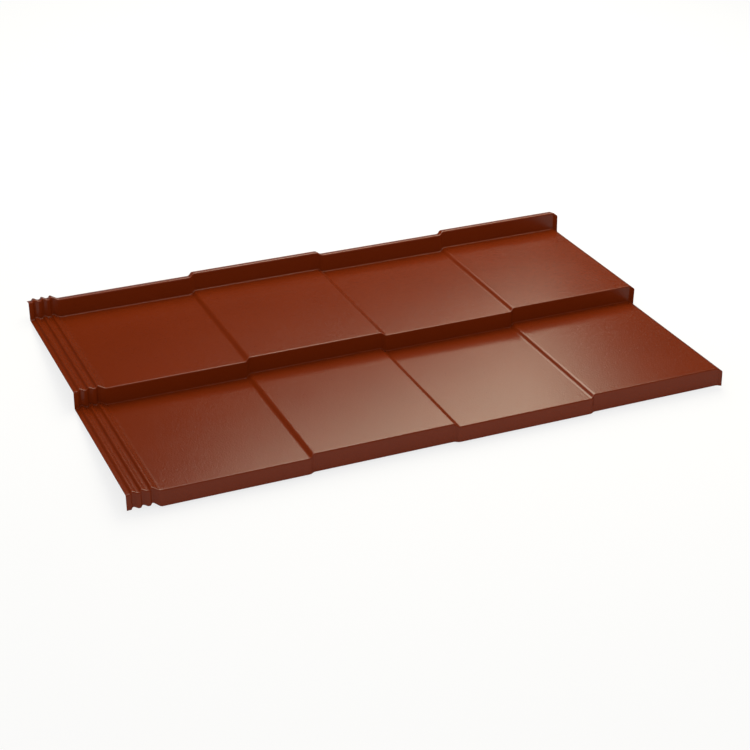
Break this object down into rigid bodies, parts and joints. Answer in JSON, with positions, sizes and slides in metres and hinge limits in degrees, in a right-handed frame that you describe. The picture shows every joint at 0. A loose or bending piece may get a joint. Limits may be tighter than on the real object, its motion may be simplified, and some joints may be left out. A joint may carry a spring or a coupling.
{
  "type": "metal roof tile sheet",
  "caption": "Coated steel roofing sheet pressed into stepped rows of flat tiles at two levels, with small overlap ribs at one side, a standing back edge and a turned down front lip.",
  "frame": {"origin": "middle of the sheet's outline, on the floor it rests on", "axes": "+X across the tiles from the overlap ribs to the plain edge, +Y up the roof slope to the standing back edge, +Z away from the roof"},
  "size_m": [1.2186, 0.7158, 0.0432],
  "materials": {
    "coated_steel": "satin"
  },
  "bodies": {
    "root": {"tile_sheet": "coated_steel"}
  },
  "joints": []
}
